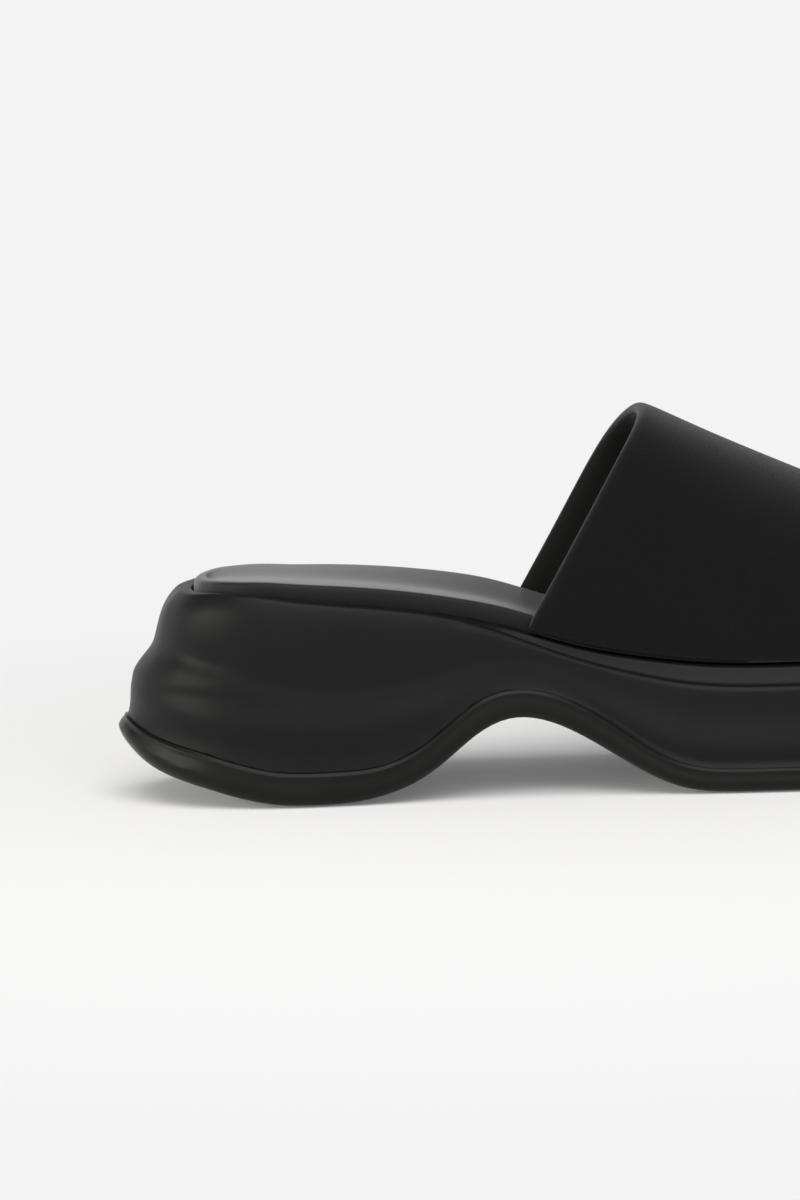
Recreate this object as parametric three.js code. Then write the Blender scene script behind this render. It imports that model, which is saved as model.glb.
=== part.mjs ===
// Platform mule, right shoe: a rippled moulded platform under a padded vamp, open at the heel.
// Millimetres. X runs from heel to toe, Y to the wearer's left and Z up from the floor.
// The shoe's outer side, the one with the little toe, faces -Y.
import * as THREE from 'three';
import { mergeVertices } from 'three/addons/utils/BufferGeometryUtils.js';

// Driving dimensions of the sole
const SOLE_LENGTH = 260;
const SOLE_WIDTH = 92.5;
const HEEL_HEIGHT = 54;
const BALL_HEIGHT = 32.6;
const ARCH_CLEARANCE = 22;
const HEEL_BEVEL = 17;
const TOE_SPRING = 8;
const OUTSOLE_HEEL = 8.8;
const OUTSOLE_BALL = 6.2;
const EDGE_ROUND = 3.6;
const RIPPLE_DEPTH = 4;
const REAR_LEAN = 17;
const TOE_LEAN = 2;
const RIM_DROP = 4.8;
const HEEL_LIP = 2.8;
const OUTSOLE_LEAN = 2.2;

// Driving dimensions of the insole and the upper
const INSOLE_THICKNESS = 4.8;
const INSOLE_DISH = 0.8;
const INSOLE_ARCH = 4.2;
const HEEL_LEDGE = 9.5;
const WAIST_LEDGE = 5;
const VAMP_LEDGE = 8.5;
const UPPER_WALL = 5;
const INSTEP_HEIGHT = 66.5;
const MOUTH_BACK = 111;
const MOUTH_ANGLE = 59;

// Curved pieces meet with this gap
const SEAM_GAP = 0.3;

// How finely the curved surfaces are divided
const STATIONS = 46;
const ARCH_STEPS = 11;
const VAMP_STEPS = 24;
const ROLL_STEPS = 4;
const ARCH_SAMPLES = 60;
const BISECTIONS = 24;

// Where things begin and end along the shoe, as shares of the sole's length
const SPINE = [0.1, 0.9];
const RIDGE_END = 0.86;
const ARCH_BACK = 0.2;

// How the edges turn and close
const BOND_INSET = 8;
const INSOLE_LEAN = 0.75;
const INSOLE_REAR_ROUND = 0.5;
const FACING = 1.5;
const FOOT_SHARE = 0.15;
const DISH_ROWS = [0.35, 0.7];

// Small steps: for a slope, as a share of the length, and for corners that count as one
const PROBE = 0.002;
const MERGE = 1e-3;

// A table with named columns, a row for each share of the sole's length
const table = (columns, rows) => ({ columns, rows });

// Plan of the sole: its two edges from the heel's axis, as shares of the sole's width
const SOLE_PLAN = table(['at', 'lateral', 'medial'], [
  [0.00, 0.000, 0.000],
  [0.02, 0.190, 0.190],
  [0.06, 0.308, 0.308],
  [0.12, 0.384, 0.384],
  [0.20, 0.411, 0.411],
  [0.30, 0.403, 0.395],
  [0.40, 0.400, 0.373],
  [0.50, 0.427, 0.389],
  [0.60, 0.468, 0.438],
  [0.70, 0.500, 0.486],
  [0.78, 0.492, 0.508],
  [0.86, 0.435, 0.492],
  [0.93, 0.305, 0.411],
  [0.98, 0.115, 0.265],
  [1.00, -0.065, 0.065],
]);

// Underside: the bevel behind the heel, the arch and the toe spring, as shares of their heights,
// and the outsole's thickness, as a share of the way from its ball to its heel thickness
const UNDERSIDE = table(['at', 'bevel', 'arch', 'spring', 'thickness'], [
  [0.000, 1.00, 0.00, 0.00, 0.30],
  [0.012, 0.85, 0.00, 0.00, 0.50],
  [0.030, 0.63, 0.00, 0.00, 0.90],
  [0.050, 0.48, 0.00, 0.00, 1.10],
  [0.090, 0.29, 0.00, 0.00, 1.20],
  [0.130, 0.11, 0.00, 0.00, 1.15],
  [0.175, 0.00, 0.00, 0.00, 1.00],
  [0.225, 0.00, 0.00, 0.00, 1.00],
  [0.285, 0.00, 0.12, 0.00, 0.50],
  [0.330, 0.00, 0.41, 0.00, 0.50],
  [0.370, 0.00, 0.82, 0.00, 0.40],
  [0.410, 0.00, 1.00, 0.00, 0.35],
  [0.450, 0.00, 0.86, 0.00, 0.35],
  [0.490, 0.00, 0.59, 0.00, 0.25],
  [0.530, 0.00, 0.27, 0.00, 0.10],
  [0.590, 0.00, 0.00, 0.00, 0.00],
  [0.800, 0.00, 0.00, 0.00, 0.00],
  [0.900, 0.00, 0.00, 0.26, 0.00],
  [1.000, 0.00, 0.00, 1.00, 0.00],
]);

// Top of the midsole: the insole's seat, as a share of the way from ball to heel height, its rise
// towards the toe, the fall of the outer rim below it and the lip that wraps the back of the insole
const MIDSOLE_TOP = table(['at', 'seat', 'rise', 'drop', 'lip'], [
  [0.000, 0.940, 0.0, 0.00, 1.00],
  [0.075, 0.960, 0.0, 0.00, 1.00],
  [0.115, 1.000, 0.0, 0.00, 0.90],
  [0.150, 1.000, 0.0, 0.00, 0.62],
  [0.192, 0.958, 0.0, 0.00, 0.34],
  [0.242, 0.907, 0.0, 0.00, 0.18],
  [0.292, 0.834, 0.0, 0.00, 0.14],
  [0.332, 0.754, 0.0, 0.00, 0.10],
  [0.373, 0.654, 0.0, 0.13, 0.00],
  [0.412, 0.535, 0.0, 0.40, 0.00],
  [0.454, 0.340, 0.0, 0.46, 0.00],
  [0.512, 0.175, 0.0, 0.72, 0.00],
  [0.590, 0.037, 0.0, 1.00, 0.00],
  [0.640, 0.000, 0.0, 1.00, 0.00],
  [0.800, 0.000, 0.0, 1.00, 0.00],
  [1.000, 0.000, 0.4, 1.00, 0.00],
]);

// The lines along the midsole's side, from the outsole to the rim
const SIDE_LINES = [
  'foot', 'hollow', 'low', 'crease', 'middle', 'flank', 'fold', 'top', 'shoulder', 'rim',
];

// Their heights, as shares of the wall from the outsole to the rim
const SIDE_HEIGHTS = table(['at', ...SIDE_LINES], [
  [0.00, 0, 0.10, 0.22, 0.29, 0.38, 0.50, 0.61, 0.75, 0.91, 1],
  [0.06, 0, 0.10, 0.23, 0.34, 0.41, 0.51, 0.61, 0.73, 0.90, 1],
  [0.10, 0, 0.11, 0.23, 0.35, 0.41, 0.48, 0.57, 0.73, 0.90, 1],
  [0.14, 0, 0.11, 0.23, 0.36, 0.41, 0.47, 0.54, 0.73, 0.91, 1],
  [0.19, 0, 0.11, 0.23, 0.36, 0.41, 0.46, 0.52, 0.72, 0.91, 1],
  [0.29, 0, 0.12, 0.25, 0.36, 0.41, 0.47, 0.53, 0.71, 0.91, 1],
  [0.34, 0, 0.10, 0.21, 0.30, 0.36, 0.43, 0.50, 0.70, 0.90, 1],
  [0.42, 0, 0.11, 0.23, 0.34, 0.45, 0.55, 0.65, 0.79, 0.92, 1],
  [0.54, 0, 0.09, 0.22, 0.35, 0.48, 0.58, 0.70, 0.83, 0.94, 1],
  [1.00, 0, 0.09, 0.22, 0.35, 0.48, 0.58, 0.70, 0.83, 0.94, 1],
]);

// How far they stand in from the sole's edge, as shares of the ripple depth
const SIDE_INSETS = table(['at', ...SIDE_LINES], [
  [0.00, 0.50, 0.60, 0.50, 0.58, 0.50, 0.66, 0.85, 0.50, 0.52, 0.85],
  [0.06, 0.50, 0.57, 0.31, 0.51, 0.42, 0.45, 0.62, 0.38, 0.42, 0.82],
  [0.10, 0.40, 0.52, 0.24, 0.52, 0.47, 0.46, 0.66, 0.36, 0.45, 0.85],
  [0.14, 0.32, 0.46, 0.25, 0.49, 0.52, 0.56, 0.65, 0.38, 0.48, 0.84],
  [0.19, 0.28, 0.42, 0.27, 0.47, 0.56, 0.64, 0.68, 0.44, 0.52, 0.84],
  [0.29, 0.28, 0.42, 0.29, 0.49, 0.58, 0.66, 0.70, 0.48, 0.54, 0.84],
  [0.34, 0.34, 0.40, 0.45, 0.55, 0.62, 0.69, 0.74, 0.60, 0.60, 0.82],
  [0.39, 0.34, 0.44, 0.52, 0.57, 0.60, 0.62, 0.63, 0.58, 0.58, 0.80],
  [0.46, 0.32, 0.46, 0.52, 0.56, 0.58, 0.60, 0.61, 0.60, 0.59, 0.80],
  [0.54, 0.30, 0.52, 0.39, 0.49, 0.62, 0.70, 0.73, 0.69, 0.64, 0.84],
  [0.62, 0.30, 0.52, 0.35, 0.46, 0.60, 0.70, 0.74, 0.71, 0.66, 0.86],
  [1.00, 0.30, 0.52, 0.35, 0.46, 0.60, 0.70, 0.74, 0.71, 0.66, 0.86],
]);

// How far they also lean in where the wall faces back or ahead, as shares of the rear and toe lean
const LEANS = [0.06, 0.08, 0.12, 0.13, 0.19, 0.30, 0.42, 0.58, 0.71, 0.90];

// Top of the midsole from the rim inwards: shares of the way to the seat's edge, of the step's
// height up to the vamp, and of the lip behind the insole
const RIM_STEPS = [
  { inward: 0.28, climb: 0.02, lip: 1.0 },
  { inward: 0.50, climb: 0.16, lip: 1.0 },
  { inward: 0.73, climb: 0.57, lip: 1.0 },
  { inward: 0.91, climb: 0.92, lip: 0.9 },
  { inward: 1.00, climb: 1.00, lip: 0.0 },
];

// Ledges outside the insole and the vamp, as shares of the way from the waist's ledge to the other
const LEDGES = table(['at', 'insole', 'vamp'], [
  [0.00, 1, 0],
  [0.35, 1, 0],
  [0.42, 0, 0],
  [0.58, 0, 1],
  [1.00, 0, 1],
]);

// The vamp over the last: its crown, as a share of the instep's height, and how square it stands
const VAMP = table(['at', 'crown', 'squareness'], [
  [0.38, 1.300, 9.0],
  [0.48, 1.120, 8.5],
  [0.55, 1.015, 8.0],
  [0.60, 0.940, 5.6],
  [0.70, 0.765, 3.4],
  [0.80, 0.590, 3.0],
  [0.88, 0.450, 2.8],
  [0.94, 0.360, 2.6],
  [1.00, 0.290, 2.5],
]);
const CROWN_BREADTH = 2.1;

// The footbed's rise over the arch, along its inner side
const FOOTBED_ARCH = table(['at', 'height'], [
  [0.18, 0.0],
  [0.30, 0.5],
  [0.42, 1.0],
  [0.56, 0.4],
  [0.66, 0.0],
]);

// Outsole's edge from underside to top: insets as shares of its rounding, heights of its thickness
const OUTSOLE_EDGE = [
  { inset: 1.00, rise: 0.00 },
  { inset: 0.46, rise: 0.08 },
  { inset: 0.13, rise: 0.25 },
  { inset: 0.00, rise: 0.42 },
  { inset: 0.05, rise: 0.60 },
  { inset: 0.14, rise: 0.79 },
  { inset: 0.09, rise: 0.93 },
  { inset: 0.26, rise: 1.00 },
];

// Insole's edge from seat to top: insets as shares of its thickness, heights of the same
const INSOLE_EDGE = [
  { inset: 0.04, rise: 0.00 },
  { inset: 0.00, rise: 0.28 },
  { inset: 0.00, rise: 0.62 },
  { inset: 0.03, rise: 0.87 },
  { inset: 0.14, rise: 0.98 },
  { inset: 0.45, rise: 1.00 },
];

// A cubic between two values with given slopes
function cubic(from, to, slopeFrom, slopeTo, step, t) {
  const s = 1 - t;
  return from * s * s * (1 + 2 * t) + to * t * t * (3 - 2 * t)
    + step * s * t * (slopeFrom * s - slopeTo * t);
}

// A smooth curve through a column that never overshoots and is level where two rows agree
function curveThrough({ columns, rows }, name) {
  const column = columns.indexOf(name);
  const x = rows.map((row) => row[0]);
  const y = rows.map((row) => row[column]);
  const rise = y.slice(1).map((value, i) => (value - y[i]) / (x[i + 1] - x[i]));
  const slope = y.map((value, i) => {
    if (i === 0) return rise[0];
    if (i === rise.length) return rise[i - 1];
    if (rise[i - 1] * rise[i] <= 0) return 0;
    return (2 * rise[i - 1] * rise[i]) / (rise[i - 1] + rise[i]);
  });
  return (share) => {
    const at = THREE.MathUtils.clamp(share, x[0], x[x.length - 1]);
    const i = Math.max(0, x.findIndex((value) => value >= at) - 1);
    const step = x[i + 1] - x[i];
    return cubic(y[i], y[i + 1], slope[i], slope[i + 1], step, (at - x[i]) / step);
  };
}
const curvesOf = (from) => Object.fromEntries(
  from.columns.slice(1).map((name) => [name, curveThrough(from, name)]),
);
const underside = curvesOf(UNDERSIDE);
const midsoleTop = curvesOf(MIDSOLE_TOP);
const sideHeight = curvesOf(SIDE_HEIGHTS);
const sideInset = curvesOf(SIDE_INSETS);
const ledge = curvesOf(LEDGES);
const vamp = curvesOf(VAMP);
const footbedArch = curveThrough(FOOTBED_ARCH, 'height');
const { lerp } = THREE.MathUtils;

// Heights above the floor along the shoe
const bottomAt = (share) => HEEL_BEVEL * underside.bevel(share)
  + ARCH_CLEARANCE * underside.arch(share) + TOE_SPRING * underside.spring(share);
function outsoleTopAt(share) {
  const slope = (bottomAt(share + PROBE) - bottomAt(share - PROBE)) / (2 * PROBE * SOLE_LENGTH);
  const slant = share > ARCH_BACK ? Math.hypot(1, slope) : 1;
  return bottomAt(share) + lerp(OUTSOLE_BALL, OUTSOLE_HEEL, underside.thickness(share)) * slant;
}
const seatAt = (share) => lerp(BALL_HEIGHT, HEEL_HEIGHT, midsoleTop.seat(share))
  + TOE_SPRING * midsoleTop.rise(share);
const rimAt = (share) => seatAt(share) - RIM_DROP * midsoleTop.drop(share)
  + HEEL_LIP * midsoleTop.lip(share);

// The sole's edge as a closed curve: angle 0 is the back of the heel, half a turn the toe
const TURN = 2 * Math.PI;
const angleOf = (share) => Math.acos(1 - 2 * share);
const shareOf = (angle) => (1 - Math.cos(angle)) / 2;
const KNOTS = [
  ...SOLE_PLAN.rows.map(([at, lateral]) => ({ angle: angleOf(at), y: -lateral * SOLE_WIDTH })),
  ...SOLE_PLAN.rows.slice(1, -1).reverse()
    .map(([at, , medial]) => ({ angle: TURN - angleOf(at), y: medial * SOLE_WIDTH })),
];
function knot(i) {
  const turns = Math.floor(i / KNOTS.length);
  const { angle, y } = KNOTS[i - turns * KNOTS.length];
  return { angle: angle + turns * TURN, y };
}
function knotSlope(i) {
  const [back, here, next] = [knot(i - 1), knot(i), knot(i + 1)];
  const before = (here.y - back.y) / (here.angle - back.angle);
  const after = (next.y - here.y) / (next.angle - here.angle);
  return lerp(before, after, (here.angle - back.angle) / (next.angle - back.angle));
}
function edgeAt(angle) {
  let i = -1;
  while (knot(i + 1).angle <= angle) i += 1;
  const [from, to] = [knot(i), knot(i + 1)];
  const step = to.angle - from.angle;
  const y = cubic(from.y, to.y, knotSlope(i), knotSlope(i + 1), step, (angle - from.angle) / step);
  return new THREE.Vector2(SOLE_LENGTH * shareOf(angle), y);
}
function outwardAt(angle) {
  const along = edgeAt(angle + PROBE).sub(edgeAt(angle - PROBE));
  return new THREE.Vector2(along.y, -along.x).normalize();
}

// How strongly an edge point faces straight back or straight ahead
const facingBack = (outward) => Math.max(0, -outward.x) ** FACING;
const facingAhead = (outward) => Math.max(0, outward.x) ** FACING;

// Insets from the sole's edge, by share of length and outward direction
const leanAt = (outward) => REAR_LEAN * facingBack(outward) + TOE_LEAN * facingAhead(outward);
const lineInset = (name) => (share, outward) => RIPPLE_DEPTH * sideInset[name](share)
  + LEANS[SIDE_LINES.indexOf(name)] * leanAt(outward);
const vampInset = (share) => lerp(WAIST_LEDGE, VAMP_LEDGE, ledge.vamp(share));
const insoleInset = (share) => lerp(
  vampInset(share) + UPPER_WALL + SEAM_GAP,
  HEEL_LEDGE,
  ledge.insole(share),
);
const seatInset = (share) => lerp(
  vampInset(share) - 2 * SEAM_GAP,
  insoleInset(share) - SEAM_GAP,
  ledge.insole(share),
);

// How far the insole's heel end is moved forward, which keeps it round
const insoleForward = (outward) => REAR_LEAN * INSOLE_LEAN * Math.max(0, -outward.x);

// A point set in from the sole's edge at an angle, at the height given along the shoe
function setIn(angle, inset, heightAt, forward = 0) {
  const outward = outwardAt(angle);
  const { x, y } = edgeAt(angle).addScaledVector(outward, -inset(shareOf(angle), outward));
  const moved = x + forward * insoleForward(outward);
  return new THREE.Vector3(moved, y, heightAt(moved / SOLE_LENGTH));
}
const ANGLES = Array.from({ length: 2 * STATIONS }, (_, j) => (Math.PI * j) / STATIONS);
const ring = (inset, heightAt, forward) => ANGLES.map(
  (angle) => setIn(angle, inset, heightAt, forward),
);

// The middle line of the plan, where the two sides of a ring meet
function middleAt(share, heightAt) {
  const side = angleOf(share);
  const y = (edgeAt(side).y + edgeAt(TURN - side).y) / 2;
  return new THREE.Vector3(share * SOLE_LENGTH, y, heightAt(share));
}
const spine = (heightAt) => ANGLES.map(
  (angle) => middleAt(THREE.MathUtils.clamp(shareOf(angle), ...SPINE), heightAt),
);

// A closed body from triangles: shared corners are merged and empty triangles dropped
function bodyFrom(triangles) {
  const loose = new THREE.BufferGeometry();
  const corners = triangles.flat().flatMap((point) => point.toArray());
  loose.setAttribute('position', new THREE.Float32BufferAttribute(corners, 3));
  const merged = mergeVertices(loose, MERGE);
  const index = Array.from(merged.getIndex().array);
  const kept = [];
  for (let i = 0; i < index.length; i += 3) {
    const [a, b, c] = index.slice(i, i + 3);
    if (a !== b && b !== c && c !== a) kept.push(a, b, c);
  }
  merged.setIndex(kept);
  merged.computeVertexNormals();
  return merged;
}

// The faces between two rows of points, split along the shorter diagonal; the lower row runs
// forwards seen from outside
function strip(lower, upper) {
  return lower.slice(1).flatMap((next, j) => {
    const [here, above, beyond] = [lower[j], upper[j], upper[j + 1]];
    if (here.distanceTo(beyond) > next.distanceTo(above)) {
      return [[here, next, above], [next, beyond, above]];
    }
    return [[here, next, beyond], [here, beyond, above]];
  });
}
const loop = (points) => [...points, points[0]];
const bodyFromRings = (rings) => bodyFrom(
  rings.slice(1).flatMap((upper, i) => strip(loop(rings[i]), loop(upper))),
);

// Outsole: a rounded bottom edge, an upright side and a lip that stands out below the midsole
function makeOutsole() {
  const edge = OUTSOLE_EDGE.map(({ inset, rise }) => ring(
    (share, outward) => inset * EDGE_ROUND + OUTSOLE_LEAN * rise ** 2 * facingBack(outward),
    (share) => lerp(bottomAt(share), outsoleTopAt(share), rise),
  ));
  return bodyFromRings([spine(bottomAt), ...edge, ...bondedRings(outsoleTopAt)]);
}

// The face where outsole and midsole are bonded: the midsole's foot line, a row within, the middle
const bondedRings = (heightAt) => [
  ring(lineInset('foot'), heightAt),
  ring(() => BOND_INSET, heightAt),
  spine(heightAt),
];

// Midsole: from the outsole up the rippled side to the rim, then over the step to the seat
function makeMidsole() {
  const footAt = (share) => outsoleTopAt(share) + SEAM_GAP;
  const lineHeight = (name) => (share) => lerp(footAt(share), rimAt(share), sideHeight[name](share));
  const side = SIDE_LINES.flatMap((name, i) => {
    const line = ring(lineInset(name), lineHeight(name));
    if (i === 0) return [line];
    const last = SIDE_LINES[i - 1];
    return [halfway(last, name, lineHeight), line];
  });
  const steps = RIM_STEPS.map(({ inward, climb, lip }) => ring(
    (share, outward) => lerp(lineInset('rim')(share, outward), seatInset(share), inward),
    (share) => seatAt(share) - RIM_DROP * midsoleTop.drop(share) * (1 - climb)
      + HEEL_LIP * midsoleTop.lip(share) * lip,
    inward,
  ));
  const bonded = bondedRings(footAt).reverse();
  return bodyFromRings([...bonded, ...side.slice(1), ...steps, spine(seatAt)]);
}

// A row halfway between two lines of the side, bulged as a smooth curve through its neighbours is
function halfway(lower, upper, lineHeight) {
  const at = SIDE_LINES.indexOf(lower);
  const before = SIDE_LINES[Math.max(0, at - 1)];
  const after = SIDE_LINES[Math.min(at + 2, SIDE_LINES.length - 1)];
  const names = [before, lower, upper, after];
  const weights = [-1 / 16, 9 / 16, 9 / 16, -1 / 16];
  const mix = (values) => values.reduce((sum, value, n) => sum + weights[n] * value, 0);
  return ring(
    (share, outward) => mix(names.map((name) => lineInset(name)(share, outward))),
    (share) => mix(names.map((name) => lineHeight(name)(share))),
  );
}

// Insole: a padded footbed with a rounded edge, slightly dished along its middle
function makeInsole() {
  const baseAt = (share) => seatAt(share) + SEAM_GAP;
  const topAt = (share) => baseAt(share) + INSOLE_THICKNESS;
  const edge = INSOLE_EDGE.map(({ inset, rise }) => ring(
    (share, outward) => insoleInset(share)
      + inset * INSOLE_THICKNESS * (1 + INSOLE_REAR_ROUND * facingBack(outward)),
    (share) => lerp(baseAt(share), topAt(share), rise),
    1,
  ));
  const dished = spine((share) => topAt(share) - INSOLE_DISH);
  const last = edge[edge.length - 1];
  const dish = DISH_ROWS.map((inward) => last.map((point, j) => {
    const mixed = point.clone().lerp(dished[j], inward);
    mixed.z = topAt(mixed.x / SOLE_LENGTH) - INSOLE_DISH * Math.sin(inward * Math.PI / 2) ** 2;
    return mixed;
  }));
  [...edge.slice(1), ...dish, dished].forEach((row) => row.forEach(raiseArch));
  return bodyFromRings([spine(baseAt), ...edge, ...dish, dished]);
}

// The footbed's inner side rises over the arch
function raiseArch(point) {
  const share = point.x / SOLE_LENGTH;
  const inward = point.y - middleAt(share, seatAt).y;
  const halfBreadth = SOLE_WIDTH / 2 - HEEL_LEDGE;
  const towardsEdge = THREE.MathUtils.clamp(inward / halfBreadth, 0, 1);
  point.z += INSOLE_ARCH * footbedArch(share) * towardsEdge;
}

// Half an arch over the foot as shares of its breadth and height, by share of its own length
function archShares(breadth, height, squareness, along) {
  const points = Array.from({ length: ARCH_SAMPLES + 1 }, (_, i) => {
    const t = (i / ARCH_SAMPLES) * (Math.PI / 2);
    return new THREE.Vector2(
      breadth * (1 - Math.cos(t) ** (2 / CROWN_BREADTH)),
      height * Math.sin(t) ** (2 / squareness),
    );
  });
  const lengths = [0];
  points.slice(1).forEach((point, i) => lengths.push(lengths[i] + point.distanceTo(points[i])));
  const wanted = along * lengths[ARCH_SAMPLES];
  const i = Math.max(0, lengths.findIndex((value) => value >= wanted) - 1);
  const t = (wanted - lengths[i]) / (lengths[i + 1] - lengths[i]);
  const { x, y } = points[i].clone().lerp(points[i + 1], t);
  return { inward: x / breadth, up: y / height };
}

// A point on the vamp: a station on one side, a share of the way up its arch, a depth in the wall
function vampPoint(share, side, along, depth) {
  const angle = side < 0 ? angleOf(share) : TURN - angleOf(share);
  const foot = setIn(angle, (at) => vampInset(at) + depth, seatAt);
  const ridge = middleAt(Math.min(share, RIDGE_END), seatAt);
  const crownAt = (at) => INSTEP_HEIGHT * vamp.crown(at) - depth;
  const at = foot.x / SOLE_LENGTH;
  const breadth = Math.hypot(ridge.x - foot.x, ridge.y - foot.y);
  const { inward, up } = archShares(breadth, crownAt(at), vamp.squareness(at), along);
  const point = foot.clone().lerp(ridge, inward);
  const here = point.x / SOLE_LENGTH;
  point.z = seatAt(here) + SEAM_GAP + up * crownAt(here);
  return point;
}

// The mouth is cut along a plane that leans forwards from the waist
const MOUTH_LEAN = Math.tan(THREE.MathUtils.degToRad(90 - MOUTH_ANGLE));
const mouthFoot = seatAt(MOUTH_BACK / SOLE_LENGTH);
const behindMouth = ({ x, z }) => MOUTH_BACK + MOUTH_LEAN * (z - mouthFoot) - x;
function mouthShare(side, along, depth) {
  let [back, front] = [VAMP.rows[0][0], RIDGE_END];
  for (let i = 0; i < BISECTIONS; i += 1) {
    const middle = (back + front) / 2;
    if (behindMouth(vampPoint(middle, side, along, depth)) > 0) back = middle;
    else front = middle;
  }
  return front;
}

// One row along the vamp from mouth to toe, closer together towards the toe
function vampRow(side, along, depth) {
  const from = angleOf(mouthShare(side, along, depth));
  return Array.from({ length: VAMP_STEPS + 1 }, (_, i) => {
    const angle = lerp(from, Math.PI, i / VAMP_STEPS);
    return vampPoint(shareOf(angle), side, along, depth);
  });
}

// Upper: a hollow shell with a rolled edge round its mouth, open underneath
function makeUpper() {
  const up = Array.from({ length: ARCH_STEPS + 1 }, (_, i) => [-1, i / ARCH_STEPS]);
  const down = up.slice(0, -1).reverse().map(([, along]) => [1, along]);
  const arch = [...up, ...down];
  const outer = arch.map(([side, along]) => vampRow(side, along, 0));
  const inner = arch.map(([side, along]) => vampRow(side, along, UPPER_WALL));
  const rolled = arch.map((_, i) => mouthRoll(outer[i][0], inner[i][0], arch[i][1]));
  const last = arch.length - 1;
  const faces = [
    ...outer.slice(1).flatMap((row, i) => strip(outer[i], row)),
    ...inner.slice(1).flatMap((row, i) => strip(row, inner[i])),
    ...rolled.slice(1).flatMap((row, i) => strip(row, rolled[i])),
    ...strip(inner[0], outer[0]),
    ...strip(outer[last], inner[last]),
    ...rolled[0].slice(2).map((point, i) => [rolled[0][0], rolled[0][i + 1], point]),
    ...rolled[last].slice(2).map((point, i) => [rolled[last][0], point, rolled[last][i + 1]]),
  ];
  return bodyFrom(faces);
}

// Half a circle round the wall's edge, along the seat at the foot and square to the mouth above it
function mouthRoll(from, to, along) {
  const centre = from.clone().lerp(to, 0.5);
  const across = from.clone().sub(centre);
  const mouthNormal = new THREE.Vector3(-1, 0, MOUTH_LEAN).normalize();
  const share = centre.x / SOLE_LENGTH;
  const seatRise = (seatAt(share - PROBE) - seatAt(share)) / (PROBE * SOLE_LENGTH);
  const back = new THREE.Vector3(-1, 0, seatRise)
    .lerp(mouthNormal, THREE.MathUtils.smoothstep(along, 0, FOOT_SHARE))
    .normalize()
    .multiplyScalar(across.length());
  return Array.from({ length: ROLL_STEPS + 1 }, (_, i) => {
    const turn = (Math.PI * i) / ROLL_STEPS;
    return centre.clone().addScaledVector(across, Math.cos(turn)).addScaledVector(back, Math.sin(turn));
  });
}

// The assembly, with its origin on the floor under the middle of the shoe
const finishes = {
  rubber: new THREE.MeshStandardMaterial({ color: 0x242625, roughness: 0.6, metalness: 0 }),
  foam: new THREE.MeshStandardMaterial({ color: 0x262827, roughness: 0.62, metalness: 0 }),
  footbed: new THREE.MeshStandardMaterial({ color: 0x2b2b2d, roughness: 0.5, metalness: 0 }),
  fabric: new THREE.MeshStandardMaterial({ color: 0x1c1c1e, roughness: 0.75, metalness: 0 }),
};
function piece(name, geometry, material) {
  const mesh = new THREE.Mesh(geometry, material);
  mesh.name = name;
  return mesh;
}
const shoe = new THREE.Group();
shoe.add(
  piece('outsole', makeOutsole(), finishes.rubber),
  piece('midsole', makeMidsole(), finishes.foam),
  piece('insole', makeInsole(), finishes.footbed),
  piece('upper', makeUpper(), finishes.fabric),
);
const extent = new THREE.Box3().setFromObject(shoe);
const middle = extent.getCenter(new THREE.Vector3());
shoe.position.set(-middle.x, -middle.y, -extent.min.z);

export default shoe;
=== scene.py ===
import math

import bmesh
import bpy
from mathutils import Matrix, Vector


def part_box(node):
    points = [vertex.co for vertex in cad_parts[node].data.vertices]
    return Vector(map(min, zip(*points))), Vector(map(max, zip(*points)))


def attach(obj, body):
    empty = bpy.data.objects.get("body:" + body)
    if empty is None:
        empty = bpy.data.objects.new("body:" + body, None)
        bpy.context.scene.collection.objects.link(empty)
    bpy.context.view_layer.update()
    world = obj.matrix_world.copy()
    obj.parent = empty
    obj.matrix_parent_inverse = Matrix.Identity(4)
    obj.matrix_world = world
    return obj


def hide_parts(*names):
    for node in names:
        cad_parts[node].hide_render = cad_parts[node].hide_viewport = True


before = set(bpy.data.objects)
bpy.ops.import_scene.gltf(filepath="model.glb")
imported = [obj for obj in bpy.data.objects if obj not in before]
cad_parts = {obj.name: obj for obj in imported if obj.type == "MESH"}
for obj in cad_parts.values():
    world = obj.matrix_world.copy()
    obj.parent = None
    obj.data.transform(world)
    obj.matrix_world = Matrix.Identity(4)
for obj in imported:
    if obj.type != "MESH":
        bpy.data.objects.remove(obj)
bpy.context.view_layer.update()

bl_info = {
    "name": "Platform mule",
    "version": (1, 0, 0),
    "blender": (4, 5, 0),
    "location": "View3D > Sidebar > Mule",
    "description": "Moulded sole, padded insole and padded vamp of a platform mule, on a studio floor",
    "category": "Object",
}

# The name of the body that every made piece hangs from
BODY = "root"

# The camera, in metres and degrees: it looks at the heel half from the shoe's outer side
PHOTO_HEIGHT = 1200
SENSOR = 36.0
FOCAL_PIXELS = 4070.0
CAMERA_TARGET = (-0.05246, 0.0, 0.04998)
CAMERA_DISTANCE = 1.1
CAMERA_TURN = 2.6
CAMERA_RISE = 6.08
CAMERA_ROLL = 2.077
CAMERA_CLIP = (0.05, 50)

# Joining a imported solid's loose triangles into faces of four sides
MERGE_DISTANCE = 2e-6
FLAT_ENOUGH = math.radians(70)
SQUARE_ENOUGH = math.radians(180)

# Edges that turn more than this stay crisp: where pieces are glued, and at the outsole's lip
CRISP_TURN = math.radians(68)
LIP_TURN = math.radians(40)
CRISP = 1.0

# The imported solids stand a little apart; corners that face up or down this squarely are glued,
# and are moved to meet
GLUED_FACE = 0.5
GLUED_MOVE = 0.0004
UP, DOWN = 1, -1

# How often the rounding divides each face
ROUNDING = 2

# The fabric's map runs across the vamp by angle, round a line below its middle
FABRIC_DEPTH = 0.004
FABRIC_REACH = 0.042

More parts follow.
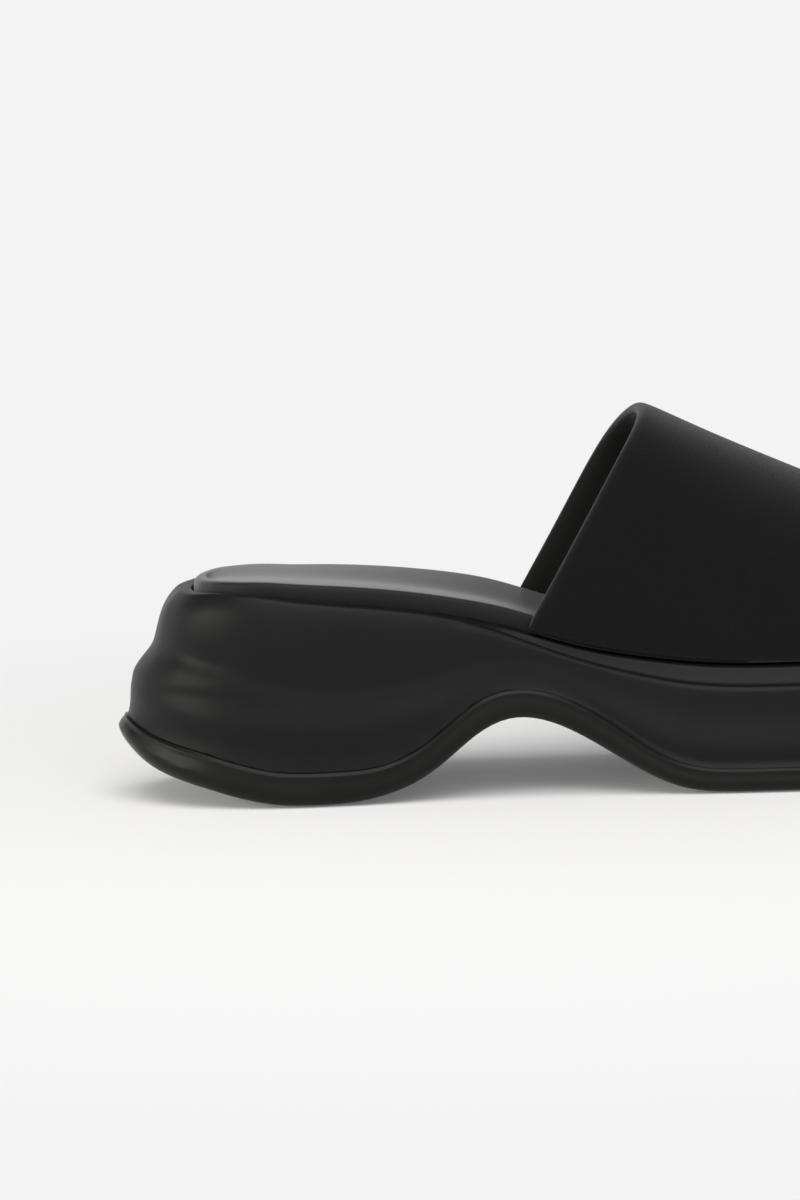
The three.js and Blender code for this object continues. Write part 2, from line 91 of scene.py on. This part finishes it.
# Sizes of the marks in the finishes, in metres
FOAM_CLOUD = 0.028
FOAM_PIT = 0.0016
FOAM_SWELL = 0.012
FOAM_SWELL_DEPTH = 0.00025
RUBBER_CLOUD = 0.022
RIB_BEND_PITCH = 0.030
COVER_CLOUD = 0.035
FABRIC_CLOUD = 0.04
FABRIC_NAP = 0.0012
LINING_CLOUD = 0.03
LINING_NAP = 0.0008
NAP_DEPTH = 0.00005

# How rough the fine grain's noise is, the cover's finer grain as a share of its pebbles, and where
# a pit in the foam ends, as a share of the space between two pits
GRAIN_ROUGHNESS = 0.6
FINE_GRAIN = 0.5
PIT_EDGE = (0.0, 0.22)

# How dark and how light each finish gets, as shares of its colour
FOAM_TONES = (0.72, 1.3)
RUBBER_TONES = (0.75, 1.25)
COVER_TONES = (0.8, 1.25)
FABRIC_TONES = (0.7, 1.35)
LINING_TONES = (0.7, 1.3)

# How much the roughness changes over each finish
CLOUD_SHINE = 0.10
RUBBER_CLOUD_SHINE = 0.08
GRAIN_SHINE = 0.12
PEBBLE_SHINE = 0.06
NAP_SHINE = 0.15

# The tread's ribs: how level a face has to be to carry them, how far they bend as a share of their
# pitch, and where on the wave that draws them their sides begin and end
LEVEL = (0.93, 0.99)
RIB_BEND = 0.22
RIB_SIDE = (-0.3, 0.5)

# The knit: how far its rows wave from loop to loop
LOOP_WAVE = 2.2

# Where the floor turns from taking shadows to plain, in metres from its middle
FLOOR_EVENS = (0.06, 0.46)

# The round floor, whose wall and bend are shares of its radius
RIM_SEGMENTS = 128
WALL_RISE = 0.45
WALL_BEND = 0.4
BEND_SEGMENTS = 16

# The soft lights: what they shine at and from where, their size in metres and their tint
TOP_LIGHT = {
    "target": (0, -0.15, 0),
    "back": (-0.1, -0.4, 1),
    "distance": 1.8,
    "size": (1.6, 1.6),
    "tint": (1.0, 0.985, 0.99),
}
FRONT_LIGHT = {
    "target": (0, 0, 0),
    "back": (0.05, -1.2, 0.85),
    "distance": 1.8,
    "size": (1.8, 1.0),
    "tint": (1.0, 0.99, 0.99),
}
SIDE_LIGHT = {
    "target": (-0.08, 0, 0.03),
    "back": (-0.93, -0.36, 0.27),
    "distance": 1.5,
    "size": (1.1, 0.5),
    "tint": (1.0, 1.0, 0.86),
}

FULL_TURN = 2 * math.pi
MIDDLE = 0.5


class Reading:
    """A node's output that takes part in Python sums; each sum adds a Math node."""

    def __init__(self, finish, socket):
        self.finish = finish
        self.socket = socket

    def __add__(self, other):
        return self.finish.maths("ADD", self, other)

    def __sub__(self, other):
        return self.finish.maths("SUBTRACT", self, other)

    def __rsub__(self, other):
        return self.finish.maths("SUBTRACT", other, self)

    def __mul__(self, other):
        return self.finish.maths("MULTIPLY", self, other)

    __radd__ = __add__
    __rmul__ = __mul__


class Finish:
    """A material that is built node by node."""

    def __init__(self, name):
        self.material = bpy.data.materials.new(name)
        self.material.use_nodes = True
        self.nodes = self.material.node_tree.nodes
        self.links = self.material.node_tree.links
        self.nodes.clear()

    def node(self, kind, values=None, output=0, **settings):
        """Adds a node: its settings first, then its sockets' values or links."""
        made = self.nodes.new(kind)
        for name, value in settings.items():
            setattr(made, name, value)
        for socket, value in (values or {}).items():
            if isinstance(value, Reading):
                self.links.new(value.socket, made.inputs[socket])
            else:
                made.inputs[socket].default_value = value
        return Reading(self, made.outputs[output]) if made.outputs else made

    def maths(self, operation, *values):
        """A sum on numbers that vary over the surface."""
        return self.node("ShaderNodeMath", dict(enumerate(values)), operation=operation)

    def place(self):
        """Object coordinates, in metres."""
        return self.node("ShaderNodeTexCoord", output="Object")

    def part(self, vector, axis):
        """One of a vector's three numbers."""
        return self.node("ShaderNodeSeparateXYZ", {"Vector": vector}, output=axis)

    def noise(self, vector, size, detail=2.0, roughness=0.5):
        """Soft noise whose marks are about size metres across."""
        return self.node(
            "ShaderNodeTexNoise",
            {"Vector": vector, "Scale": 1 / size, "Detail": detail, "Roughness": roughness},
        )

    def cells(self, vector, size):
        """Small cells about size metres across, 0 at their middles."""
        return self.node(
            "ShaderNodeTexVoronoi", {"Vector": vector, "Scale": 1 / size}, feature="F1"
        )

    def ease(self, value, low, high):
        """0 below low, 1 above high and smooth between."""
        return self.node(
            "ShaderNodeMapRange",
            {"Value": value, "From Min": low, "From Max": high},
            interpolation_type="SMOOTHSTEP",
        )

    def mottled(self, share, colour, tones):
        """A colour between its darker and its lighter tone."""
        dark, light = (tinted(colour, tone) for tone in tones)
        return self.node(
            "ShaderNodeMix", {0: share, 6: dark, 7: light}, output=2, data_type="RGBA"
        )

    def bump(self, height, depth, strength=1.0, under=None):
        """A raised or sunk surface; height is from 0 to 1 and depth in metres."""
        values = {"Height": height, "Distance": depth, "Strength": strength}
        if under is not None:
            values["Normal"] = under
        return self.node("ShaderNodeBump", values)

    def surface(self, **values):
        """The shader itself, with its socket names written with underscores."""
        named = {name.replace("_", " "): value for name, value in values.items()}
        if "IOR Level" in named:
            named["Specular IOR Level"] = named.pop("IOR Level")
        shader = self.node("ShaderNodeBsdfPrincipled", named)
        self.node("ShaderNodeOutputMaterial", {"Surface": shader})
        return self.material


def tinted(colour, share):
    """A colour made lighter or darker by a share."""
    return tuple(channel * share for channel in colour[:3]) + (1.0,)


def packed_copy(node):
    """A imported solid's shape, its loose triangles joined into faces of four sides."""
    shape = bmesh.new()
    shape.from_mesh(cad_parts[node].data)
    bmesh.ops.remove_doubles(shape, verts=shape.verts, dist=MERGE_DISTANCE)
    bmesh.ops.join_triangles(
        shape,
        faces=shape.faces,
        angle_face_threshold=FLAT_ENOUGH,
        angle_shape_threshold=SQUARE_ENOUGH,
    )
    return shape


def pressed(shape, way, move):
    """Moves the corners that face the way given, up or down, to meet the piece beyond."""
    shape.normal_update()
    glued = [corner for corner in shape.verts if corner.normal.z * way > GLUED_FACE]
    bmesh.ops.translate(shape, verts=glued, vec=(0, 0, way * move))


def creased(shape, least_turn):
    """Keeps the edges crisp whose two faces turn more than the angle given."""
    shape.normal_update()
    layer = shape.edges.layers.float.new("crease_edge")
    for edge in shape.edges:
        if edge.calc_face_angle(0.0) > least_turn:
            edge[layer] = CRISP


def rounded_piece(shape, name, node, *materials):
    """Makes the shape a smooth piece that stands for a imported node."""
    mesh = bpy.data.meshes.new(name)
    shape.to_mesh(mesh)
    shape.free()
    mesh.polygons.foreach_set("use_smooth", [True] * len(mesh.polygons))
    piece = bpy.data.objects.new(name, mesh)
    bpy.context.scene.collection.objects.link(piece)
    for material in materials:
        mesh.materials.append(material)
    smooth = piece.modifiers.new("rounding", "SUBSURF")
    smooth.levels = smooth.render_levels = ROUNDING
    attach(piece, BODY)
    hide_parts(node)
    return piece


class MuleSole(bpy.types.PropertyGroup):
    """The moulded sole: midsole and outsole."""

    foam_colour: bpy.props.FloatVectorProperty(
        name="Foam colour",
        description="Colour of the moulded midsole",
        subtype="COLOR",
        size=4,
        min=0,
        max=1,
        default=(0.0062, 0.0068, 0.0066, 1),
    )
    rubber_colour: bpy.props.FloatVectorProperty(
        name="Rubber colour",
        description="Colour of the outsole",
        subtype="COLOR",
        size=4,
        min=0,
        max=1,
        default=(0.0070, 0.0072, 0.0066, 1),
    )
    foam_roughness: bpy.props.FloatProperty(
        name="Foam roughness",
        description="How matt the midsole is",
        subtype="FACTOR",
        min=0,
        max=1,
        default=0.42,
    )
    rubber_roughness: bpy.props.FloatProperty(
        name="Rubber roughness",
        description="How matt the outsole is",
        subtype="FACTOR",
        min=0,
        max=1,
        default=0.31,
    )
    gloss: bpy.props.FloatProperty(
        name="Gloss",
        description="How strongly the sole mirrors what stands before it",
        subtype="FACTOR",
        min=0,
        max=1,
        default=0.14,
    )
    grain: bpy.props.FloatProperty(
        name="Grain size",
        description="Size of the moulded grain",
        subtype="DISTANCE",
        unit="LENGTH",
        default=0.0005,
    )
    grain_depth: bpy.props.FloatProperty(
        name="Grain depth",
        description="Depth of the moulded grain",
        subtype="DISTANCE",
        unit="LENGTH",
        default=0.00002,
    )
    tread_pitch: bpy.props.FloatProperty(
        name="Tread pitch",
        description="Distance between the fine ribs of the underside",
        subtype="DISTANCE",
        unit="LENGTH",
        default=0.006,
    )
    tread_depth: bpy.props.FloatProperty(
        name="Tread depth",
        description="Depth of the fine ribs of the underside",
        subtype="DISTANCE",
        unit="LENGTH",
        default=0.0006,
    )


class MuleInsole(bpy.types.PropertyGroup):
    """The padded insole."""

    colour: bpy.props.FloatVectorProperty(
        name="Cover colour",
        description="Colour of the insole's cover",
        subtype="COLOR",
        size=4,
        min=0,
        max=1,
        default=(0.0085, 0.0083, 0.0090, 1),
    )
    roughness: bpy.props.FloatProperty(
        name="Cover roughness",
        description="How matt the insole's cover is",
        subtype="FACTOR",
        min=0,
        max=1,
        default=0.5,
    )
    grain: bpy.props.FloatProperty(
        name="Grain size",
        description="Size of the cover's grain",
        subtype="DISTANCE",
        unit="LENGTH",
        default=0.0007,
    )
    grain_depth: bpy.props.FloatProperty(
        name="Grain depth",
        description="Depth of the cover's grain",
        subtype="DISTANCE",
        unit="LENGTH",
        default=0.00003,
    )
    fill: bpy.props.FloatProperty(
        name="Fill",
        description="How tightly the insole is padded",
        subtype="FACTOR",
        min=0,
        max=1,
        default=0.8,
    )


class MuleVamp(bpy.types.PropertyGroup):
    """The padded vamp."""

    colour: bpy.props.FloatVectorProperty(
        name="Fabric colour",
        description="Colour of the vamp's stretch fabric",
        subtype="COLOR",
        size=4,
        min=0,
        max=1,
        default=(0.0046, 0.0045, 0.0049, 1),
    )
    lining_colour: bpy.props.FloatVectorProperty(
        name="Lining colour",
        description="Colour of the vamp's lining",
        subtype="COLOR",
        size=4,
        min=0,
        max=1,
        default=(0.0058, 0.0058, 0.0054, 1),
    )
    roughness: bpy.props.FloatProperty(
        name="Fabric roughness",
        description="How matt the fabric is",
        subtype="FACTOR",
        min=0,
        max=1,
        default=0.7,
    )
    lining_roughness: bpy.props.FloatProperty(
        name="Lining roughness",
        description="How matt the lining is",
        subtype="FACTOR",
        min=0,
        max=1,
        default=0.78,
    )
    knit: bpy.props.FloatProperty(
        name="Knit pitch",
        description="Distance between two rows of the fabric's loops",
        subtype="DISTANCE",
        unit="LENGTH",
        default=0.0006,
    )
    knit_depth: bpy.props.FloatProperty(
        name="Knit depth",
        description="Depth of the fabric's loops",
        subtype="DISTANCE",
        unit="LENGTH",
        default=0.00004,
    )
    fill: bpy.props.FloatProperty(
        name="Fill",
        description="How tightly the vamp is padded",
        subtype="FACTOR",
        min=0,
        max=1,
        default=0.9,
    )


class MuleStage(bpy.types.PropertyGroup):
    """Floor and lights."""

    floor_colour: bpy.props.FloatVectorProperty(
        name="Floor colour",
        description="Colour of the floor and the backdrop",
        subtype="COLOR",
        size=4,
        min=0,
        max=1,
        default=(0.896, 0.896, 0.896, 1),
    )
    room_light: bpy.props.FloatProperty(
        name="Room light",
        description="Strength of the even light from all round",
        default=0.15,
    )
    top_light: bpy.props.FloatProperty(
        name="Top light",
        description="Power of the large light overhead",
        subtype="POWER",
        unit="POWER",
        default=24.0,
    )
    front_light: bpy.props.FloatProperty(
        name="Front light",
        description="Power of the large light over the camera",
        subtype="POWER",
        unit="POWER",
        default=9.0,
    )
    floor_glow: bpy.props.FloatProperty(
        name="Floor glow",
        description="Share of the floor's brightness that shadows leave alone",
        subtype="FACTOR",
        min=0,
        max=1,
        default=0.12,
    )
    side_light: bpy.props.FloatProperty(
        name="Side light",
        description="Power of the light behind the heel",
        subtype="POWER",
        unit="POWER",
        default=8.5,
    )
    radius: bpy.props.FloatProperty(
        name="Radius",
        description="Radius of the round studio floor",
        subtype="DISTANCE",
        unit="LENGTH",
        default=4.0,
    )


class MULE_OT_make_outsole(bpy.types.Operator):
    """Makes the rubber outsole"""

    bl_idname = "mule.make_outsole"
    bl_label = "Make the outsole"

    def execute(self, context):
        settings = context.scene.mule_sole
        shape = packed_copy("outsole")
        creased(shape, LIP_TURN)
        pressed(shape, UP, GLUED_MOVE)
        rounded_piece(shape, "outsole_rubber", "outsole", rubber_finish(settings))
        return {"FINISHED"}


class MULE_OT_make_midsole(bpy.types.Operator):
    """Makes the moulded midsole with its ripples"""

    bl_idname = "mule.make_midsole"
    bl_label = "Make the midsole"

    def execute(self, context):
        settings = context.scene.mule_sole
        shape = packed_copy("midsole")
        creased(shape, CRISP_TURN)
        rounded_piece(shape, "midsole_foam", "midsole", foam_finish(settings))
        return {"FINISHED"}


class MULE_OT_make_insole(bpy.types.Operator):
    """Makes the padded insole"""

    bl_idname = "mule.make_insole"
    bl_label = "Make the insole"

    def execute(self, context):
        settings = context.scene.mule_insole
        shape = packed_copy("insole")
        creased(shape, CRISP_TURN)
        pressed(shape, DOWN, GLUED_MOVE)
        insole = rounded_piece(shape, "insole_pad", "insole", cover_finish(settings))
        return {"FINISHED"}


class MULE_OT_make_vamp(bpy.types.Operator):
    """Makes the padded vamp with its lining"""

    bl_idname = "mule.make_vamp"
    bl_label = "Make the vamp"

    def execute(self, context):
        settings = context.scene.mule_vamp
        shape = packed_copy("upper")
        low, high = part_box("upper")
        heart = Vector((0, (low.y + high.y) / 2, low.z))
        fabric_map = shape.loops.layers.uv.new("fabric")
        for face in shape.faces:
            middle = face.calc_center_median()
            inwards = face.normal.dot(middle - Vector((middle.x, heart.y, heart.z))) < 0
            face.material_index = int(inwards)
            for loop in face.loops:
                across = loop.vert.co - heart
                turn = math.atan2(across.y, max(across.z, 0.0) + FABRIC_DEPTH)
                loop[fabric_map].uv = (turn * FABRIC_REACH, loop.vert.co.x)
        vamp = rounded_piece(
            shape, "vamp_padding", "upper", fabric_finish(settings), lining_finish(settings)
        )
        return {"FINISHED"}


def foam_finish(settings):
    """Moulded foam: satin, with a fine grain, faint clouds and a few pits."""
    finish = Finish("moulded_foam")
    place = finish.place()
    grain = finish.noise(place, settings.grain, detail=3, roughness=GRAIN_ROUGHNESS)
    cloud = finish.noise(place, FOAM_CLOUD, detail=3)
    pits = finish.ease(finish.cells(place, FOAM_PIT), *PIT_EDGE)
    colour = finish.mottled(cloud * 0.7 + grain * 0.3, settings.foam_colour, FOAM_TONES)
    shine = (
        settings.foam_roughness
        + (cloud - MIDDLE) * CLOUD_SHINE
        + (grain - MIDDLE) * GRAIN_SHINE
    )
    relief = finish.bump(grain * 0.8 + pits * 0.2, settings.grain_depth)
    waves = finish.noise(place, FOAM_SWELL, detail=1)
    swell = finish.bump(waves, FOAM_SWELL_DEPTH, strength=0.5, under=relief)
    return finish.surface(
        Base_Color=colour, Roughness=shine, IOR_Level=settings.gloss, Normal=swell
    )


def rubber_finish(settings):
    """Outsole rubber: a little shinier, finely grained, ribbed where it meets the floor."""
    finish = Finish("outsole_rubber")
    place = finish.place()
    grain = finish.noise(place, settings.grain, detail=3, roughness=GRAIN_ROUGHNESS)
    cloud = finish.noise(place, RUBBER_CLOUD, detail=3)
    colour = finish.mottled(cloud, settings.rubber_colour, RUBBER_TONES)
    shine = (
        settings.rubber_roughness
        + (cloud - MIDDLE) * RUBBER_CLOUD_SHINE
        + (grain - MIDDLE) * GRAIN_SHINE
    )
    facing = finish.node("ShaderNodeNewGeometry", output="Normal")
    under = finish.ease(finish.part(facing, "Z") * -1.0, *LEVEL)
    bend = finish.maths("COSINE", finish.part(place, "Y") * (FULL_TURN / RIB_BEND_PITCH))
    rows = finish.part(place, "X") * (FULL_TURN / settings.tread_pitch)
    wave = finish.maths("SINE", rows + bend * RIB_BEND * FULL_TURN)
    ribs = finish.ease(wave, *RIB_SIDE) * under
    relief = finish.bump(grain, settings.grain_depth)
    tread = finish.bump(ribs, settings.tread_depth, under=relief)
    return finish.surface(
        Base_Color=colour, Roughness=shine, IOR_Level=settings.gloss, Normal=tread
    )


def cover_finish(settings):
    """The insole's cover: smooth and soft, with a fine pebbled grain."""
    finish = Finish("insole_cover")
    place = finish.place()
    pebble = finish.cells(place, settings.grain)
    fine = finish.noise(place, settings.grain * FINE_GRAIN)
    cloud = finish.noise(place, COVER_CLOUD)
    colour = finish.mottled(cloud * 0.6 + pebble * 0.4, settings.colour, COVER_TONES)
    shine = settings.roughness + (cloud - MIDDLE) * CLOUD_SHINE + pebble * PEBBLE_SHINE
    relief = finish.bump(pebble * 0.7 + fine * 0.3, settings.grain_depth)
    return finish.surface(
        Base_Color=colour,
        Roughness=shine,
        IOR_Level=0.2,
        Sheen_Weight=0.34,
        Sheen_Roughness=0.4,
        Sheen_Tint=(0.96, 0.94, 1.0, 1.0),
        Normal=relief,
    )


def knitted(finish, settings):
    """Rows of small loops, 0 between them and 1 on their tops."""
    cloth = finish.node("ShaderNodeUVMap", uv_map="fabric")
    rows = finish.part(cloth, "Y") * (FULL_TURN / settings.knit)
    wales = finish.maths("SINE", finish.part(cloth, "X") * (FULL_TURN / settings.knit))
    loops = finish.maths("SINE", rows + finish.maths("ABSOLUTE", wales) * LOOP_WAVE)
    return (loops * 0.6 + wales * 0.4) * MIDDLE + MIDDLE


def fabric_finish(settings):
    """The vamp's stretch fabric: matt, finely knitted, with a soft nap."""
    finish = Finish("stretch_fabric")
    place = finish.place()
    knit = knitted(finish, settings)
    nap = finish.noise(place, FABRIC_NAP, detail=4, roughness=GRAIN_ROUGHNESS)
    cloud = finish.noise(place, FABRIC_CLOUD)
    share = cloud * 0.4 + nap * 0.3 + knit * 0.3
    colour = finish.mottled(share, settings.colour, FABRIC_TONES)
    relief = finish.bump(knit, settings.knit_depth)
    soft = finish.bump(nap, NAP_DEPTH, under=relief)
    return finish.surface(
        Base_Color=colour,
        Roughness=settings.roughness + (nap - MIDDLE) * NAP_SHINE,
        IOR_Level=0.03,
        Sheen_Weight=0.2,
        Sheen_Roughness=0.5,
        Sheen_Tint=(0.97, 0.96, 1.0, 1.0),
        Normal=soft,
    )


def lining_finish(settings):
    """The vamp's lining: a plain, smooth microfibre."""
    finish = Finish("vamp_lining")
    place = finish.place()
    nap = finish.noise(place, LINING_NAP, detail=3, roughness=GRAIN_ROUGHNESS)
    cloud = finish.noise(place, LINING_CLOUD)
    share = cloud * 0.5 + nap * 0.5
    colour = finish.mottled(share, settings.lining_colour, LINING_TONES)
    return finish.surface(
        Base_Color=colour,
        Roughness=settings.lining_roughness + (nap - MIDDLE) * NAP_SHINE,
        IOR_Level=0.14,
        Sheen_Weight=0.08,
        Sheen_Roughness=0.4,
        Normal=finish.bump(nap, NAP_DEPTH),
    )


def floor_finish(settings):
    """The pale floor: it takes soft shadows near the shoe and is plain and even far from it."""
    finish = Finish("studio_floor")
    place = finish.place()
    reach = finish.node("ShaderNodeVectorMath", {0: place}, output=1, operation="LENGTH")
    glow = settings.floor_glow
    far = finish.ease(reach, *FLOOR_EVENS) * (1 - glow) + glow
    near = finish.node("ShaderNodeBsdfDiffuse", {"Color": settings.floor_colour})
    plain = finish.node("ShaderNodeEmission", {"Color": settings.floor_colour, "Strength": 1.0})
    mixed = finish.node("ShaderNodeMixShader", {0: far, 1: near, 2: plain})
    finish.node("ShaderNodeOutputMaterial", {"Surface": mixed})
    return finish.material


def aimed(back):
    """Turns a light or camera so that it looks against the direction given."""
    return Vector(back).to_track_quat("Z", "Y").to_matrix().to_4x4()


def softbox(name, power, target, back, distance, size, tint):
    """A soft rectangular light that shines on a target from a direction."""
    light = bpy.data.lights.new(name, "AREA")
    light.shape = "RECTANGLE"
    light.size, light.size_y = size
    light.energy = power
    light.color = tint
    lamp = bpy.data.objects.new(name, light)
    bpy.context.scene.collection.objects.link(lamp)
    back = Vector(back).normalized()
    lamp.matrix_world = Matrix.Translation(Vector(target) + back * distance) @ aimed(back)


def photo_camera():
    """The camera at the photograph's angle, rolled a little."""
    turn, rise, roll = (math.radians(angle) for angle in (CAMERA_TURN, CAMERA_RISE, CAMERA_ROLL))
    back = Vector(
        (-math.sin(turn) * math.cos(rise), -math.cos(turn) * math.cos(rise), math.sin(rise))
    )
    right = Vector((math.cos(turn), -math.sin(turn), 0))
    up = back.cross(right)
    across = right * math.cos(roll) - up * math.sin(roll)
    upright = right * math.sin(roll) + up * math.cos(roll)
    data = bpy.data.cameras.new("camera")
    data.lens = FOCAL_PIXELS / PHOTO_HEIGHT * SENSOR
    data.sensor_width = SENSOR
    data.clip_start, data.clip_end = CAMERA_CLIP
    camera = bpy.data.objects.new("camera", data)
    bpy.context.scene.collection.objects.link(camera)
    turned = Matrix((across, upright, back)).transposed().to_4x4()
    place = Vector(CAMERA_TARGET) + back * CAMERA_DISTANCE
    camera.matrix_world = Matrix.Translation(place) @ turned
    bpy.context.scene.camera = camera


class MULE_OT_set_stage(bpy.types.Operator):
    """Sets up the floor, the lights and the camera"""

    bl_idname = "mule.set_stage"
    bl_label = "Set the stage"

    def execute(self, context):
        settings = context.scene.mule_stage
        shape = bmesh.new()
        bmesh.ops.create_circle(
            shape, cap_ends=True, segments=RIM_SEGMENTS, radius=settings.radius
        )
        rim = [edge for edge in shape.edges if edge.is_boundary]
        wall = bmesh.ops.extrude_edge_only(shape, edges=rim)
        risen = [part for part in wall["geom"] if isinstance(part, bmesh.types.BMVert)]
        bmesh.ops.translate(shape, verts=risen, vec=(0, 0, settings.radius * WALL_RISE))
        bmesh.ops.bevel(
            shape,
            geom=[edge for edge in rim if edge.is_valid],
            offset=settings.radius * WALL_BEND,
            offset_type="OFFSET",
            segments=BEND_SEGMENTS,
            profile=0.5,
            material=-1,
            affect="EDGES",
        )
        mesh = bpy.data.meshes.new("floor")
        shape.to_mesh(mesh)
        shape.free()
        mesh.polygons.foreach_set("use_smooth", [True] * len(mesh.polygons))
        floor = bpy.data.objects.new("floor", mesh)
        context.scene.collection.objects.link(floor)
        mesh.materials.append(floor_finish(settings))

        world = bpy.data.worlds.new("room")
        world.use_nodes = True
        background = world.node_tree.nodes["Background"]
        background.inputs["Color"].default_value = (1, 1, 1, 1)
        background.inputs["Strength"].default_value = settings.room_light
        context.scene.world = world

        softbox("top_light", settings.top_light, **TOP_LIGHT)
        softbox("front_light", settings.front_light, **FRONT_LIGHT)
        softbox("side_light", settings.side_light, **SIDE_LIGHT)
        photo_camera()
        context.scene.view_settings.view_transform = "Standard"
        return {"FINISHED"}


class MULE_PT_panel(bpy.types.Panel):
    """Lists the pieces that can be made"""

    bl_idname = "MULE_PT_panel"
    bl_label = "Mule"
    bl_space_type = "VIEW_3D"
    bl_region_type = "UI"
    bl_category = "Mule"

    def draw(self, context):
        for operator in OPERATORS:
            self.layout.operator(operator.bl_idname)


OPERATORS = (
    MULE_OT_make_outsole,
    MULE_OT_make_midsole,
    MULE_OT_make_insole,
    MULE_OT_make_vamp,
    MULE_OT_set_stage,
)
SETTINGS = {
    "mule_sole": MuleSole,
    "mule_insole": MuleInsole,
    "mule_vamp": MuleVamp,
    "mule_stage": MuleStage,
}


def register():
    for cls in (*SETTINGS.values(), *OPERATORS, MULE_PT_panel):
        bpy.utils.register_class(cls)
    for name, cls in SETTINGS.items():
        setattr(bpy.types.Scene, name, bpy.props.PointerProperty(type=cls))


def unregister():
    for name in SETTINGS:
        delattr(bpy.types.Scene, name)
    for cls in reversed((*SETTINGS.values(), *OPERATORS, MULE_PT_panel)):
        bpy.utils.unregister_class(cls)


def main():
    register()
    bpy.ops.mule.make_outsole()
    bpy.ops.mule.make_midsole()
    bpy.ops.mule.make_insole()
    bpy.ops.mule.make_vamp()
    bpy.ops.mule.set_stage()


if __name__ == "__main__":
    main()
